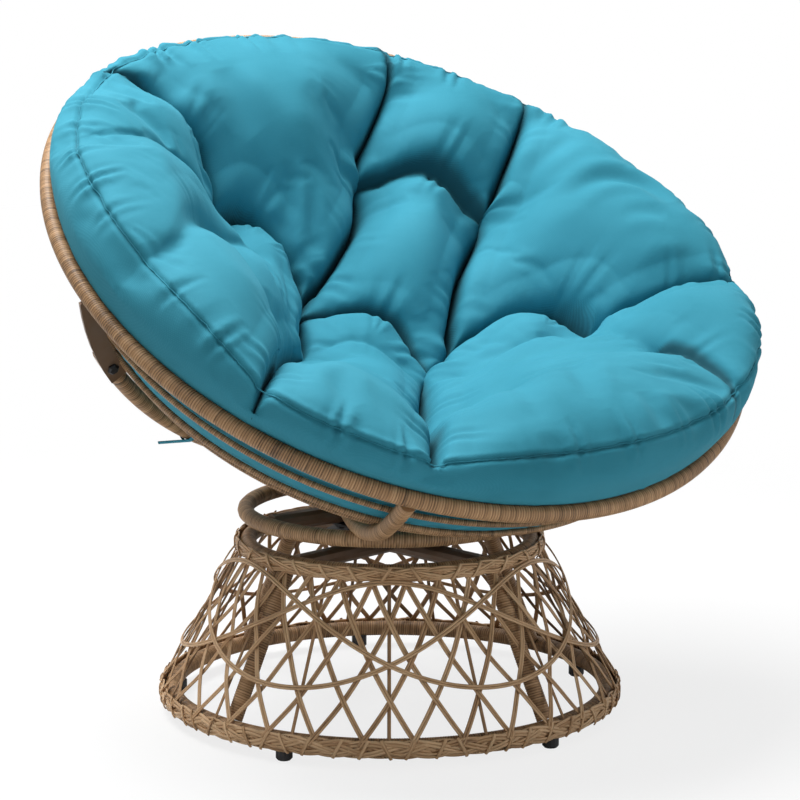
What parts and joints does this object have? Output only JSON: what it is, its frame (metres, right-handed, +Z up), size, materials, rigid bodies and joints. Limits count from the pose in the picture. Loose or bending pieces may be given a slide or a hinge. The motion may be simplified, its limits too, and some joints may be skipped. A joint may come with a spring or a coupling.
{
  "type": "papasan chair",
  "caption": "Round papasan bowl seat with a tufted teal cushion, tilted on a swivelling wicker pedestal with an open strand cage.",
  "frame": {"origin": "on the floor under the middle of the part's box, 31.7 mm in front of the swivel's axis", "axes": "+Z up, +X to the seat's own left-to-right width, the seat faces -Y"},
  "size_m": [0.994, 0.868, 0.9167],
  "materials": {
    "resin_wicker": "flat resin strands, light brown with streaks",
    "brown_steel": "satin brown powder coat",
    "black_steel": "satin black",
    "bright_steel": "plain",
    "black_plastic": "matt",
    "teal_fabric": "plain woven polyester, matt"
  },
  "bodies": {
    "base": {"base_lower_ring": "resin_wicker", "base_upper_ring": "resin_wicker", "leg_1": "resin_wicker", "leg_2": "resin_wicker", "leg_3": "resin_wicker", "leg_4": "resin_wicker", "glide_1": "black_plastic", "glide_2": "black_plastic", "glide_3": "black_plastic", "glide_4": "black_plastic", "glide_5": "black_plastic", "lower_band": "resin_wicker", "upper_band": "resin_wicker", "cage_lattice": "resin_wicker", "cage_wave_1": "resin_wicker", "cage_wave_2": "resin_wicker", "cage_wave_3": "resin_wicker", "base_crossbar": "brown_steel", "base_half_crossbar_a": "brown_steel", "base_half_crossbar_b": "brown_steel", "swivel_lower_plate": "black_steel", "pivot_pin": "black_steel", "lower_plate_bolt_1": "black_steel", "lower_plate_bolt_2": "black_steel", "lower_plate_bolt_3": "black_steel", "lower_plate_bolt_4": "black_steel"},
    "ball_cage": {"ball_cage": "bright_steel"},
    "seat": {"swivel_upper_plate": "black_steel", "upper_plate_bolt_1": "black_steel", "upper_plate_bolt_2": "black_steel", "upper_plate_bolt_3": "black_steel", "upper_plate_bolt_4": "black_steel", "seat_ring": "resin_wicker", "seat_crossbar": "brown_steel", "seat_half_crossbar_a": "brown_steel", "seat_half_crossbar_b": "brown_steel", "bowl_rim": "resin_wicker", "hoop_1": "resin_wicker", "hoop_2": "resin_wicker", "hoop_3": "resin_wicker", "hoop_4": "resin_wicker", "cradle_tube": "resin_wicker", "side_bracket_left": "brown_steel", "bracket_bolt_left": "black_steel", "side_bracket_right": "brown_steel", "bracket_bolt_right": "black_steel", "rib_left": "resin_wicker", "rib_right": "resin_wicker", "rear_strut_left": "resin_wicker", "rear_strut_right": "resin_wicker", "cushion": "teal_fabric", "cushion_tie_left": "teal_fabric", "cushion_tie_right": "teal_fabric"}
  },
  "joints": [
    {"name": "swivel", "type": "hinge", "parent": "base", "child": "seat", "pos_m": [0, 0.0498, 0.2515], "axis": [0, 0, 1], "continuous": true},
    {"name": "ball_cage_turn", "type": "hinge", "parent": "base", "child": "ball_cage", "pos_m": [0, 0.0498, 0.2515], "axis": [0, 0, 1], "continuous": true}
  ],
  "couplings": [
    {"joint": "ball_cage_turn", "follows": "swivel", "ratio": 0.5}
  ]
}
